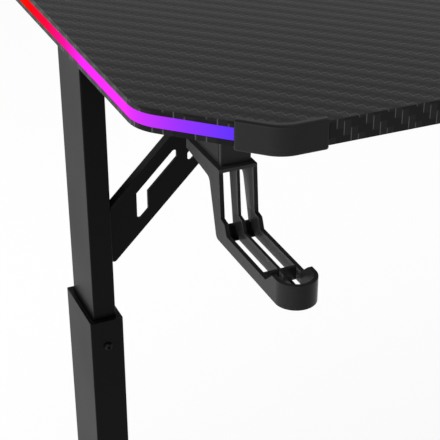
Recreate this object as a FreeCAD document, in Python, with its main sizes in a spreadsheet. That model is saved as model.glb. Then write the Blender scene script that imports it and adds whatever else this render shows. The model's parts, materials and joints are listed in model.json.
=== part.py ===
import FreeCAD, Part
import math
import os
import re
import Sketcher

# Driving sizes in millimetres, one cell of the sheet each
SIZES = {
    # Desktop panel: film-wrapped particle board with its front corners cut at 45 degrees
    "desk_width": 1200,
    "desk_depth": 600,
    "desk_height": 750,
    "board_thick": 18,
    "corner_cut": 74.9,
    "corner_round": 36,
    "nose_round": 26,
    "rear_round": 10,
    # Light strip let into the panel's ends
    "led_lip": 4.5,
    "led_height": 9.45,
    "led_rear_gap": 25,
    "groove_depth": 12,
    "diffuser_depth": 5,
    "tape_thick": 1.4,
    "tape_height": 8,
    "led_clearance": 0.15,
    # Corner bumpers and their screws
    "bumper_arm": 34.5,
    "bumper_proud": 1,
    "bumper_wall": 2.2,
    "bumper_rise": 1.9,
    "bumper_floor": 3.1,
    "bumper_top_lip": 5,
    "bumper_under_lip": 14,
    "bumper_seat": 0.5,
    "bumper_edge_round": 2,
    "bumper_screw": 3,
    "bumper_screw_grip": 10,
    # Telescopic legs
    "leg_inset": 21.5,
    "upright_width": 21.4,
    "upright_depth": 61.5,
    "tube_wall": 2,
    "tube_round": 1.5,
    "slide_gap": 3.3,
    "sleeve_drop": 297,
    "leg_overlap": 200,
    "collar_height": 45,
    "slide_clearance": 0.3,
    "guide_height": 20,
    "plug_length": 18,
    # Lock screw of each leg
    "lock_drop": 28,
    "lock_screw": 5,
    "lock_head": 8,
    "lock_head_height": 2.6,
    "lock_head_gap": 0.4,
    # Cross beam, its end plates and the support arms
    "beam_depth": 25,
    "beam_height": 60,
    "plate_thick": 4,
    "plate_corner": 12,
    "plate_bolt_row": 21,
    "plate_bolt_rise": 18,
    "arm_width": 25.5,
    "arm_inset": 92.6,
    "arm_front_inset": 111,
    "cap_thick": 5,
    "beam_bolt_place": 240,
    # Gussets between the uprights and the beam
    "gusset_thick": 3,
    "gusset_setback": 7,
    "gusset_upper": 182.3,
    "gusset_lower": 247.9,
    "gusset_tip_round": 3.5,
    "gusset_flange": 35,
    "gusset_flange_foot": 14,
    "slot_left": 27.4,
    "slot_knee": 177.3,
    "slot_run": 39.8,
    "slot_leg": 29,
    "slot_width": 11,
    "slot_gap": 10.4,
    "slot_drop": 10.1,
    "slot_round": 2.5,
    # Headphone hook
    "hook_aside": 0.6,
    "hook_width": 32,
    "hook_rail": 3.5,
    "hook_tongue": 2.6,
    "hook_front": 106,
    "hook_overhang": 8.2,
    "hook_flange": 64,
    "hook_plate": 3,
    "hook_drop": 60.8,
    "hook_arm": 10.8,
    "hook_lip": 9.1,
    "hook_cross_bar": 3,
    "hook_cross_place": 31,
    "hook_elbow_round": 6,
    "hook_foot_round": 4.5,
    "hook_screw": 5,
    # Bolts, nuts and inserts of the frame
    "bolt": 6,
    "bolt_head": 10.5,
    "bolt_head_height": 3.3,
    "bolt_tip_gap": 2,
    "drive_across": 3,
    "drive_depth": 1.6,
    "nut_across": 10,
    "nut_thick": 5,
    "insert_width": 9,
    "insert_depth": 12,
    "fit_gap": 0.05,
    # Light controller under the top, with its button
    "case_inset": 200,
    "case_setback": 70,
    "case_width": 84,
    "case_depth": 46,
    "case_height": 20,
    "case_wall": 2,
    "case_lid": 1.5,
    "case_post": 9,
    "case_screw": 3.5,
    "case_screw_grip": 10,
    "circuit_thick": 1.6,
    "circuit_gap": 0.3,
    "switch_width": 6,
    "switch_depth": 4,
    "switch_pin": 1.5,
    "terminal_width": 8,
    "terminal_gap": 4,
    "socket_width": 9,
    "socket_length": 14,
    "socket_height": 9.5,
    "socket_bore": 5.6,
    "socket_bore_depth": 9,
    "socket_pin": 2,
    "button_width": 9,
    "button_proud": 2,
    "button_rim": 1,
    "button_stem": 4,
    "button_travel": 0.8,
    "button_clearance": 0.1,
    "button_gap": 0.4,
    # Leads from the controller to the light strips
    "lead_width": 3,
    "lead_setback": 93,
    "lead_drop": 8,
    "lead_bend": 6,
    "lead_reach": 3,
    "lead_hole_gap": 0.5,
    "clip_length": 10,
    "clip_width": 12,
    "clip_under": 3.5,
    # Feet
    "foot_length": 540,
    "foot_width": 50,
    "foot_height": 30,
    "foot_cap_thick": 4,
    "base_plate_length": 124,
    "base_bolt_place": 48,
    "leveller_width": 38,
    "leveller_height": 8,
    "leveller_gap": 0.4,
    "leveller_inset": 40,
    "stud_width": 8,
    "stud_length": 22,
    "boss_width": 16,
    "boss_height": 9,
    # Overrun of every cutting tool past the face that it opens
    "overrun": 2,
}

# Shares of named sizes
SHARES = {
    "bumper_screw_share": 0.6,
    "arm_bolt_inner_share": 0.19,
    "arm_bolt_outer_share": 0.48,
    "head_rim_share": 0.4,
    "head_crown_share": 0.62,
    "hook_screw_share": 0.6,
    "neck_lean_share": 0.062,
    "neck_front_share": 0.658,
    "step_out_share": 0.172,
    "step_top_share": 0.678,
    "step_low_share": 0.238,
    "horn_share": 0.637,
    "ramp_share": 1.143,
    "heel_share": 0.081,
    "elbow_out_share": 0.29,
    "elbow_drop_share": 0.231,
    "tongue_back_share": 0.245,
    "flange_end_share": 0.138,
    "web_reach_share": 0.09,
    "web_height_share": 0.145,
    "web_hollow_share": 0.85,
}

POINT_TOLERANCE = 1e-4
SIDES = {"left": "-1", "right": "1"}
ENDS = {"front": "-1", "rear": "1"}
CLIP_NAMES = {"left": "abcde", "right": "a"}
TURNS = {
    "x": FreeCAD.Vector(1, 0, 0),
    "-x": FreeCAD.Vector(-1, 0, 0),
    "y": FreeCAD.Vector(0, 1, 0),
    "-y": FreeCAD.Vector(0, -1, 0),
    "z": FreeCAD.Vector(0, 0, 1),
    "-z": FreeCAD.Vector(0, 0, -1),
}

# Places that several pieces share, written as expressions of the sheet
UNDER = "(desk_height - board_thick)"
GROOVE_LOW = "(desk_height - led_lip - led_height)"
BEAM_LOW = "(desk_height - board_thick - beam_height)"
BEAM_MIDDLE = "(desk_height - board_thick - beam_height / 2)"
LEG = "(desk_width / 2 - leg_inset - upright_width / 2)"
LEG_INNER = "(desk_width / 2 - leg_inset - upright_width)"
ARM = "(desk_width / 2 - arm_inset)"
HOOK = "(desk_width / 2 - arm_inset + hook_aside)"
ARM_LENGTH = "(desk_depth / 2 - arm_front_inset - cap_thick - beam_depth / 2)"
SLEEVE_TOP = "(desk_height - sleeve_drop)"
SLEEVE_WIDTH = "(upright_width + 2 * slide_gap + 2 * tube_wall)"
SLEEVE_DEPTH = "(upright_depth + 2 * slide_gap + 2 * tube_wall)"
UPRIGHT_LOW = "(desk_height - sleeve_drop - leg_overlap)"
FOOT_LOW = "(leveller_height + leveller_gap)"
FOOT_TOP = "(leveller_height + leveller_gap + foot_height)"
PLATE_TOP = "(leveller_height + leveller_gap + foot_height + plate_thick)"
CASE_X = "(desk_width / 2 - case_inset)"
CASE_FRONT = "(case_setback - desk_depth / 2)"
CASE_LOW = "(desk_height - board_thick - case_lid - case_height)"
BUTTON_Z = "(desk_height - board_thick - case_lid - case_height / 2)"
CIRCUIT_TOP = "(desk_height - board_thick - case_lid - case_height / 2 - switch_width / 2)"
LEAD_Y = "(lead_setback - desk_depth / 2)"
LEAD_Z = "(desk_height - board_thick - lead_drop)"
LEAD_END = "(desk_width / 2 - (groove_depth - tape_thick + diffuser_depth) / 2)"
BOLT_HOLE = "bolt + 4 * fit_gap"

doc = FreeCAD.newDocument("gaming_desk")
sheet = doc.addObject("Spreadsheet::Sheet", "Sizes")
for row, (alias, value) in enumerate({**SIZES, **SHARES}.items(), start=1):
    sheet.set(f"A{row}", alias)
    sheet.set(f"B{row}", str(value))
    sheet.setAlias(f"B{row}", alias)
doc.recompute()
nodes = []


def cells(text):
    """Expression in which each size's name points at its cell of the sheet."""
    return re.sub(r"\b[a-z]\w*\b(?!\()", r"Sizes.\g<0>", text)


def bind(item, **texts):
    """Binds properties of an object to expressions of the sheet."""
    for prop, text in texts.items():
        item.setExpression(prop, cells(text))
    return item


def place(item, spot):
    """Binds an object's place to three expressions of the sheet."""
    for axis, text in zip("xyz", spot):
        item.setExpression(f".Placement.Base.{axis}", cells(text))
    return item


def turn(item, toward):
    """Points an object's own z axis along a main axis."""
    rotation = FreeCAD.Rotation(TURNS["z"], TURNS[toward])
    item.Placement = FreeCAD.Placement(FreeCAD.Vector(), rotation)
    return item


def opposite(toward):
    """The main axis that points the other way."""
    return toward[1:] if toward.startswith("-") else f"-{toward}"


def ahead(spot, toward, distance):
    """A place moved along a main axis by a distance."""
    moved = list(spot)
    sign = "-" if toward.startswith("-") else "+"
    axis = "xyz".index(toward[-1])
    moved[axis] = f"{spot[axis]} {sign} ({distance})"
    return tuple(moved)


def block(name, size, low):
    """Square block with its low corner at a place."""
    item = doc.addObject("Part::Box", name)
    bind(item, Length=size[0], Width=size[1], Height=size[2])
    return place(item, low)


def middle_block(name, size, middle):
    """Square block that is centred on a place in x and y, and stands on it."""
    low = (f"{middle[0]} - ({size[0]}) / 2", f"{middle[1]} - ({size[1]}) / 2", middle[2])
    return block(name, size, low)


def rod(name, width, length, base, toward="z"):
    """Round bar of a diameter and length, from the centre of its base."""
    item = turn(doc.addObject("Part::Cylinder", name), toward)
    bind(item, Radius=f"({width}) / 2", Height=length)
    return place(item, base)


def hole(name, width, length, mouth, toward="z"):
    """Drill that overruns both faces of a wall, from its mouth through the wall's thickness."""
    start = ahead(mouth, opposite(toward), "overrun")
    return rod(name, width, f"{length} + 2 * overrun", start, toward)


def hexagon(name, across, length, base, toward="z"):
    """Six-sided bar, measured across its flats."""
    item = turn(doc.addObject("Part::Prism", name), toward)
    item.Polygon = 6
    bind(item, Circumradius=f"({across}) / sqrt(3)", Height=length)
    return place(item, base)


def group(name, items):
    """Several solids kept in one object."""
    item = doc.addObject("Part::Compound", name)
    item.Links = items
    return item


def fuse(name, items):
    """Solids joined into one."""
    item = doc.addObject("Part::MultiFuse", name)
    item.Shapes = items
    item.Refine = True
    return item


def cut(name, base, tools):
    """Solid with tools taken out of it."""
    item = doc.addObject("Part::Cut", name)
    item.Base = base
    item.Tool = fuse(f"{name}_tools", tools) if len(tools) > 1 else tools[0]
    item.Refine = True
    return item


def node(name, item):
    """Names a finished sub-part."""
    item.Label = name
    nodes.append(item)
    return item


def draw_loop(sketch, loop):
    """Closed outline of straight lines, with both coordinates of each corner bound to the sheet."""
    first = sketch.GeometryCount
    count = len(loop)
    turns = [math.tau * i / count for i in range(count)]
    start = [FreeCAD.Vector(math.cos(angle), math.sin(angle), 0) for angle in turns]
    for i in range(count):
        sketch.addGeometry(Part.LineSegment(start[i], start[(i + 1) % count]))
    for i in range(count):
        sketch.addConstraint(Sketcher.Constraint("Coincident", first + i, 2, first + (i + 1) % count, 1))
    for i, point in enumerate(loop):
        for kind, text, guess in zip(("DistanceX", "DistanceY"), point, start[i]):
            index = sketch.addConstraint(Sketcher.Constraint(kind, first + i, 1, guess))
            sketch.setExpression(f"Constraints[{index}]", cells(text))


def standing_edges(sketch, solid, corners):
    """Names of the edges that stand on the given corners of an outline."""
    normal = sketch.Placement.Rotation.multVec(TURNS["z"])
    feet = [sketch.Placement.multVec(sketch.getPoint(corner, 1)) for corner in corners]
    found = []
    for number, edge in enumerate(solid.Edges, start=1):
        ends = [vertex.Point for vertex in edge.Vertexes]
        for foot in feet:
            if all((end - foot).cross(normal).Length < POINT_TOLERANCE for end in ends):
                found.append(f"Edge{number}")
    return found


def border_edges(sketch, solid, lines):
    """Names of the edges round the walls that stand on the given lines of an outline, seams left out."""
    normal = sketch.Placement.Rotation.multVec(TURNS["z"])
    feet = [[sketch.Placement.multVec(sketch.getPoint(line, end)) for end in (1, 2)] for line in lines]
    points = [foot for pair in feet for foot in pair]
    corners = [foot for foot in points if sum((foot - other).Length < POINT_TOLERANCE for other in points) > 1]
    found = []
    for number, edge in enumerate(solid.Edges, start=1):
        ends = [vertex.Point for vertex in edge.Vertexes]
        on_walls = all(
            any(abs((end - a).dot((b - a).cross(normal).normalize())) < POINT_TOLERANCE for a, b in feet)
            for end in ends
        )
        upright = (ends[-1] - ends[0]).cross(normal).Length < POINT_TOLERANCE
        at_corner = any((ends[0] - foot).cross(normal).Length < POINT_TOLERANCE for foot in corners)
        if on_walls and (at_corner or not upright):
            found.append(f"Edge{number}")
    return found


def fillet(body, edges, radius):
    """Rounds edges of a body's last feature."""
    feature = body.Tip
    rounding = body.newObject("PartDesign::Fillet", f"{body.Name}_round")
    rounding.Base = (feature, edges)
    bind(rounding, Radius=radius)
    body.Tip = rounding
    doc.recompute()


def prism(name, plane, loops, length, start):
    """Sheet or bar cut to an outline and drawn out square to its plane. A corner's third item rounds it."""
    body = doc.addObject("PartDesign::Body", name)
    sketch = body.newObject("Sketcher::SketchObject", f"{name}_outline")
    support = next(item for item in body.Origin.OriginFeatures if item.Role == f"{plane}_Plane")
    sketch.AttachmentSupport = (support, [""])
    sketch.MapMode = "FlatFace"
    for loop in loops:
        draw_loop(sketch, loop)
    feature = body.newObject("PartDesign::Pad", f"{name}_pad")
    feature.Profile = sketch
    feature.Reversed = plane == "XZ"
    bind(feature, Length=length)
    axis = {"XY": "z", "XZ": "y", "YZ": "x"}[plane]
    body.setExpression(f".Placement.Base.{axis}", cells(start))
    body.Tip = feature
    doc.recompute()
    corners = [point for loop in loops for point in loop]
    for radius in sorted({text for point in corners for text in point[2:]}):
        standing = [index for index, point in enumerate(corners) if point[2:] == (radius,)]
        fillet(body, standing_edges(sketch, body.Tip.Shape, standing), radius)
    return body


def rectangle(middle, size, *radius):
    """Corners of a rectangle round its middle."""
    across, along = f"({size[0]}) / 2", f"({size[1]}) / 2"
    signs = (("-", "-"), ("+", "-"), ("+", "+"), ("-", "+"))
    return [(f"{middle[0]} {a} {across}", f"{middle[1]} {b} {along}", *radius) for a, b in signs]


def inside(size, gap):
    """Size of the room that is left inside an outline."""
    return [f"({text} - 2 * ({gap}))" for text in size]


def tube(name, plane, middle, size, length, start):
    """Drawn rectangular tube with softly rounded outer corners."""
    loops = [rectangle(middle, size, "tube_round"), rectangle(middle, inside(size, "tube_wall"))]
    return prism(name, plane, loops, length, start)


def screw(name, width, head, head_height, length, seat, toward):
    """Button-head screw: its shank points ahead of the seat, its head stands behind it."""
    back = opposite(toward)
    shank = rod(f"{name}_shank", width, length, seat, toward)
    rim = rod(f"{name}_rim", head, f"{head_height} * head_rim_share", seat, back)
    crown = turn(doc.addObject("Part::Cone", f"{name}_crown"), back)
    bind(crown, Radius1=f"{head} / 2", Radius2=f"{head} * head_crown_share / 2")
    bind(crown, Height=f"{head_height} * (1 - head_rim_share)")
    place(crown, ahead(seat, back, f"{head_height} * head_rim_share"))
    mouth = ahead(seat, back, f"{head_height} + overrun")
    drive = hexagon(f"{name}_drive", "drive_across", "drive_depth + overrun", mouth, toward)
    return cut(name, fuse(f"{name}_blank", [shank, rim, crown]), [drive])


def frame_bolt(name, length, seat, toward):
    """Button-head bolt of the frame's one size."""
    return screw(name, "bolt", "bolt_head", "bolt_head_height", length, seat, toward)


def nut(name, seat, toward):
    """Weld nut that lies on its seat, with a fitted hole for its bolt."""
    blank = hexagon(f"{name}_blank", "nut_across", "nut_thick", seat, toward)
    return cut(name, blank, [hole(f"{name}_bore", "bolt + 2 * fit_gap", "nut_thick", seat, toward)])


def corner(side, x, y, *radius):
    """Plan point measured from a front corner: x in from the desk's end, y back from its front edge."""
    return f"{side} * (desk_width / 2 - ({x}))", f"{y} - desk_depth / 2", *radius


def end_path(side, out, reach):
    """Points along the desk's end and cut corner, on a line that lies outside the panel's edge by out."""
    return [
        corner(side, f"-({out})", f"desk_depth - {reach}"),
        corner(side, f"-({out})", f"corner_cut - ({out}) * (sqrt(2) - 1)", f"corner_round + {out}"),
        corner(side, f"corner_cut - (bumper_arm + {out}) / sqrt(2)", f"(bumper_arm - ({out})) / sqrt(2)"),
    ]


def nose_path(side, out, reach, *radius):
    """Points round the front vertex of a cut corner, on a line that lies outside the panel's edge by out."""
    return [
        corner(side, f"corner_cut - ({reach} + {out}) / sqrt(2)", f"({reach} - ({out})) / sqrt(2)"),
        corner(side, f"corner_cut - ({out}) * (sqrt(2) - 1)", f"-({out})", *radius),
        corner(side, f"corner_cut + {reach}", f"-({out})"),
    ]


def light_band(name, side, outer, inner, low, height, reach):
    """Strip that follows the desk's end and cut corner between two lines, rounded where they turn."""
    loop = end_path(side, outer, reach) + end_path(side, inner, reach)[::-1]
    return prism(name, "XY", [loop], height, low)


def nose_band(name, side, outer, inner, low, height, reach):
    """Strip that follows the front vertex of a cut corner, rounded along its outer line."""
    loop = nose_path(side, outer, reach, f"nose_round + {outer}") + nose_path(side, inner, reach)[::-1]
    return prism(name, "XY", [loop], height, low)


def nose_rebate(name, side, inner, low, height):
    """Cut round the front vertex of a cut corner, rounded along the line where it ends in the panel."""
    loop = nose_path(side, "overrun", "bumper_arm")
    loop += nose_path(side, inner, "bumper_arm", f"nose_round + {inner}")[::-1]
    return prism(name, "XY", [loop], height, low)


def gusset_point(side, run, drop, *radius):
    """Point of a gusset's sheet: run in from the upright, drop below the top."""
    return f"{side} * ({LEG_INNER} - ({run}))", f"desk_height - ({drop})", *radius


def hook_point(forward, drop, *radius):
    """Point of the hook's side view: forward of its neck, drop below its top."""
    return f"hook_front - desk_depth / 2 - ({forward})", f"{BEAM_LOW} - ({drop})", *radius


# Places of the fasteners, in plan
desktop_bolt_places = [(f"{sign} * beam_bolt_place", "0") for sign in SIDES.values()]
bumper_screw_places = {}
gusset_bolt_places = {}
gusset_middle = f"({LEG_INNER} - (gusset_upper + gusset_lower) / 2 + board_thick + beam_height)"
for side, sign in SIDES.items():
    for end_sign in ENDS.values():
        for share in ("arm_bolt_inner_share", "arm_bolt_outer_share"):
            y = f"{end_sign} * (beam_depth / 2 + {ARM_LENGTH} * {share})"
            desktop_bolt_places.append((f"{sign} * {ARM}", y))
    screw_line = nose_path(sign, "bumper_proud - bumper_under_lip * bumper_screw_share", "bumper_arm / 2")
    bumper_screw_places[side] = [screw_line[0], screw_line[2]]
    shift = "(gusset_lower - gusset_upper) / 4"
    gusset_bolt_places[side] = [(f"{sign} * ({gusset_middle} {a} {shift})", "0") for a in "-+"]
hook_screw_y = "hook_front + hook_flange * hook_screw_share - desk_depth / 2"
hook_screw_places = [(f"-{HOOK} {a} (hook_width - hook_rail) / 4", hook_screw_y) for a in "-+"]
case_screw_places = [
    (f"{CASE_X} - (case_width - case_post) / 2", f"{CASE_FRONT} + case_post / 2"),
    (f"{CASE_X} + (case_width - case_post) / 2", f"{CASE_FRONT} + case_depth - case_post / 2"),
]

# Desktop panel with its light grooves, bumper rebates, lead holes, insert holes and screw pilots
panel_outline = [
    ("-desk_width / 2", "desk_depth / 2", "rear_round"),
    corner("-1", "0", "corner_cut", "corner_round"),
    corner("-1", "corner_cut", "0", "nose_round"),
    corner("1", "corner_cut", "0", "nose_round"),
    corner("1", "0", "corner_cut", "corner_round"),
    ("desk_width / 2", "desk_depth / 2", "rear_round"),
]
panel = prism("panel_blank", "XY", [panel_outline], "board_thick", UNDER)
panel_tools = []
for side, sign in SIDES.items():
    name = f"{side}_groove"
    groove = light_band(name, sign, "overrun", "-groove_depth", GROOVE_LOW, "led_height", "led_rear_gap")
    bed = "-(bumper_wall - bumper_proud + fit_gap)"
    height = "board_thick + 2 * overrun"
    rebate = nose_rebate(f"{side}_rebate", sign, bed, f"{UNDER} - overrun", height)
    seat = "-(bumper_top_lip - bumper_proud + fit_gap)"
    height = "bumper_seat + overrun"
    lip_seat = nose_rebate(f"{side}_lip_seat", sign, seat, "desk_height - bumper_seat", height)
    mouth = (f"{sign} * {LEAD_END}", LEAD_Y, UNDER)
    lead_hole = hole(f"{side}_lead_hole", "lead_width + 2 * lead_hole_gap", "led_lip", mouth)
    panel_tools += [groove, rebate, lip_seat, lead_hole]
    for number, spot in enumerate(bumper_screw_places[side]):
        name = f"{side}_bumper_pilot_{number}"
        start = (*spot, f"{UNDER} - overrun")
        depth = "bumper_screw_grip + fit_gap + overrun"
        panel_tools.append(rod(name, "bumper_screw + 2 * fit_gap", depth, start))
for number, spot in enumerate(desktop_bolt_places):
    start = (*spot, f"{UNDER} - overrun")
    width = "insert_width + 2 * fit_gap"
    panel_tools.append(rod(f"insert_hole_{number}", width, "insert_depth + overrun", start))
for number, spot in enumerate(case_screw_places):
    start = (*spot, f"{UNDER} - overrun")
    depth = "case_screw_grip + fit_gap + overrun"
    panel_tools.append(rod(f"case_pilot_{number}", "case_screw + 2 * fit_gap", depth, start))
node("desktop_panel", cut("panel_cut", panel, panel_tools))

# Diffusers and light tapes in the grooves
for side, sign in SIDES.items():
    reach = "(led_rear_gap + led_clearance)"
    low = f"{GROOVE_LOW} + led_clearance"
    height = "led_height - 2 * led_clearance"
    diffuser = light_band(f"{side}_diffuser", sign, "0", "-diffuser_depth", low, height, reach)
    node(f"{side}_led_diffuser", diffuser)
    low = f"{GROOVE_LOW} + (led_height - tape_height) / 2"
    face = "-(groove_depth - led_clearance - tape_thick)"
    back = "-(groove_depth - led_clearance)"
    tape = light_band(f"{side}_tape", sign, face, back, low, "tape_height", reach)
    node(f"{side}_led_tape", tape)

# Corner bumpers: a channel over the panel's edge with a wide lip below, held by screws through that lip
bumper_screws = []
for side, sign in SIDES.items():
    low = f"{UNDER} - bumper_floor"
    height = "bumper_floor + board_thick + bumper_rise"
    under = "-(bumper_under_lip - bumper_proud)"
    blank = nose_band(f"{side}_bumper_blank", sign, "bumper_proud", under, low, height, "bumper_arm")
    sketch = doc.getObject(f"{side}_bumper_blank_outline")
    fillet(blank, border_edges(sketch, blank.Tip.Shape, [0, 1, 2, 5]), "bumper_edge_round")
    past = "-(bumper_under_lip - bumper_proud + overrun)"
    long_reach = "(bumper_arm + overrun)"
    wall = "-(bumper_wall - bumper_proud)"
    height = "board_thick - bumper_seat + 2 * fit_gap"
    slot = nose_band(f"{side}_bumper_slot", sign, wall, past, f"{UNDER} - fit_gap", height, long_reach)
    lip = "-(bumper_top_lip - bumper_proud)"
    height = "bumper_seat + bumper_rise + overrun"
    trim = nose_band(f"{side}_bumper_trim", sign, lip, past, "desk_height - bumper_seat", height, long_reach)
    tools = [slot, trim]
    for number, spot in enumerate(bumper_screw_places[side]):
        name = f"{side}_bumper_screw_{number}"
        tools.append(hole(f"{name}_hole", "bumper_screw + 4 * fit_gap", "bumper_floor", (*spot, low)))
        seat = (*spot, f"{low} - fit_gap")
        shank = rod(f"{name}_shank", "bumper_screw", "bumper_floor + bumper_screw_grip", seat)
        head = rod(f"{name}_head", "2 * bumper_screw", "bumper_wall", seat, "-z")
        bumper_screws.append(fuse(name, [shank, head]))
    node(f"{side}_corner_bumper", cut(f"{side}_bumper_cut", blank, tools))
node("bumper_screws", group("bumper_screw_group", bumper_screws))

# Uprights with the bolts and weld nuts of the beam plates and gussets, and a guide plug in each lower end
frame_nuts = []
beam_bolts = []
gusset_bolts = []
for side, sign in SIDES.items():
    middle = (f"{sign} * {LEG}", "0")
    size = ("upright_width", "upright_depth")
    height = f"{UNDER} - {UPRIGHT_LOW}"
    blank = tube(f"{side}_upright_blank", "XY", middle, size, height, UPRIGHT_LOW)
    outward = "-x" if side == "left" else "x"
    spots = [
        (f"{a} plate_bolt_row", f"{BEAM_MIDDLE} {b} plate_bolt_rise", "plate_thick", beam_bolts)
        for a in "-+"
        for b in "-+"
    ]
    for drop in ("gusset_upper + nut_across", "gusset_lower - gusset_flange_foot - nut_across"):
        spots.append(("0", f"desk_height - ({drop})", "gusset_thick", gusset_bolts))
    holes = []
    for number, (y, z, grip, bolts) in enumerate(spots):
        name = f"{side}_leg_bolt_{number}"
        mouth = (f"{sign} * {LEG_INNER}", y, z)
        holes.append(hole(f"{name}_hole", BOLT_HOLE, "tube_wall", mouth, outward))
        frame_nuts.append(nut(f"{name}_nut", ahead(mouth, outward, "tube_wall"), outward))
        seat = ahead(mouth, opposite(outward), grip)
        bolts.append(frame_bolt(name, f"{grip} + tube_wall + nut_thick", seat, outward))
    node(f"{side}_upright", cut(f"{side}_upright_cut", blank, holes))
    room = inside((SLEEVE_WIDTH, SLEEVE_DEPTH), "tube_wall + slide_clearance")
    runner_low = (*middle, f"{UPRIGHT_LOW} - guide_height")
    runner = middle_block(f"{side}_runner", (*room, "guide_height"), runner_low)
    stem_size = (*inside(size, "tube_wall + fit_gap"), "plug_length")
    stem = middle_block(f"{side}_stem", stem_size, (*middle, UPRIGHT_LOW))
    node(f"{side}_guide_plug", fuse(f"{side}_guide", [runner, stem]))

# Cross beam on edge between the uprights, with a bolted plate welded to each end
half = f"({LEG_INNER} - plate_thick)"
beam = tube("beam_blank", "YZ", ("0", BEAM_MIDDLE), ("beam_depth", "beam_height"), f"2 * {half}", f"-{half}")
holes = []
for number, spot in enumerate(desktop_bolt_places[:2]):
    holes.append(hole(f"beam_bolt_hole_{number}", BOLT_HOLE, "beam_height", (*spot, BEAM_LOW)))
for side in SIDES:
    for number, spot in enumerate(gusset_bolt_places[side]):
        name = f"{side}_gusset_top_{number}"
        holes.append(hole(f"{name}_hole", BOLT_HOLE, "tube_wall", (*spot, BEAM_LOW)))
        frame_nuts.append(nut(f"{name}_nut", (*spot, f"{BEAM_LOW} + tube_wall"), "z"))
        seat = (*spot, f"{BEAM_LOW} - gusset_thick")
        gusset_bolts.append(frame_bolt(name, "gusset_thick + tube_wall + nut_thick", seat, "z"))
node("cross_beam", cut("beam_cut", beam, holes))
plate_outline = [
    ("-upright_depth / 2", f"{BEAM_LOW} + plate_corner"),
    ("plate_corner - upright_depth / 2", BEAM_LOW),
    ("upright_depth / 2 - plate_corner", BEAM_LOW),
    ("upright_depth / 2", f"{BEAM_LOW} + plate_corner"),
    ("upright_depth / 2", UNDER),
    ("-upright_depth / 2", UNDER),
]
for side, sign in SIDES.items():
    plate_x = f"{sign} * ({LEG_INNER} - plate_thick / 2) - plate_thick / 2"
    blank = prism(f"{side}_plate_blank", "YZ", [plate_outline], "plate_thick", plate_x)
    holes = []
    for a in "-+":
        for b in "-+":
            mouth = (plate_x, f"{a} plate_bolt_row", f"{BEAM_MIDDLE} {b} plate_bolt_rise")
            holes.append(hole(f"{side}_plate_hole_{len(holes)}", BOLT_HOLE, "plate_thick", mouth, "x"))
    node(f"{side}_beam_plate", cut(f"{side}_plate_cut", blank, holes))
node("beam_bolts", group("beam_bolt_group", beam_bolts))

# Support arms under the top, welded square to the beam, with a plastic cap in each free end
caps = []
for side, sign in SIDES.items():
    for end, end_sign in ENDS.items():
        name = f"{side}_{end}_arm"
        x = f"{sign} * {ARM}"
        size = ("arm_width", "beam_height")
        start = "beam_depth / 2" if end == "rear" else f"-beam_depth / 2 - {ARM_LENGTH}"
        blank = tube(f"{name}_blank", "XZ", (x, BEAM_MIDDLE), size, ARM_LENGTH, start)
        holes = []
        for number, share in enumerate(("arm_bolt_inner_share", "arm_bolt_outer_share")):
            mouth = (x, f"{end_sign} * (beam_depth / 2 + {ARM_LENGTH} * {share})", BEAM_LOW)
            holes.append(hole(f"{name}_hole_{number}", BOLT_HOLE, "beam_height", mouth))
        if name == "left_front_arm":
            for number, spot in enumerate(hook_screw_places):
                mouth = (*spot, BEAM_LOW)
                holes.append(hole(f"{name}_hook_{number}", "hook_screw + 2 * fit_gap", "tube_wall", mouth))
        node(name, cut(f"{name}_cut", blank, holes))
        y = f"{end_sign} * (desk_depth / 2 - arm_front_inset - cap_thick / 2)"
        plate = middle_block(f"{name}_cap_plate", ("arm_width", "cap_thick", "beam_height"), (x, y, BEAM_LOW))
        room = inside(size, "tube_wall + fit_gap")
        y = f"{end_sign} * (desk_depth / 2 - arm_front_inset - cap_thick - plug_length / 2)"
        plug_low = (x, y, f"{BEAM_LOW} + tube_wall + fit_gap")
        plug = middle_block(f"{name}_cap_plug", (room[0], "plug_length", room[1]), plug_low)
        caps.append(fuse(f"{name}_cap", [plate, plug]))
node("arm_end_caps", group("arm_cap_group", caps))

# Bolts that hold the frame to the top, and the threaded inserts in the top
bolts = []
inserts = []
for number, spot in enumerate(desktop_bolt_places):
    length = "beam_height + insert_depth - bolt_tip_gap"
    bolts.append(frame_bolt(f"desktop_bolt_{number}", length, (*spot, BEAM_LOW), "z"))
    blank = rod(f"insert_blank_{number}", "insert_width", "insert_depth - fit_gap", (*spot, UNDER))
    bore = hole(f"insert_bore_{number}", "bolt + 2 * fit_gap", "insert_depth", (*spot, UNDER))
    inserts.append(cut(f"insert_{number}", blank, [bore]))
node("desktop_bolts", group("desktop_bolt_group", bolts))
node("board_inserts", group("insert_group", inserts))

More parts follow.
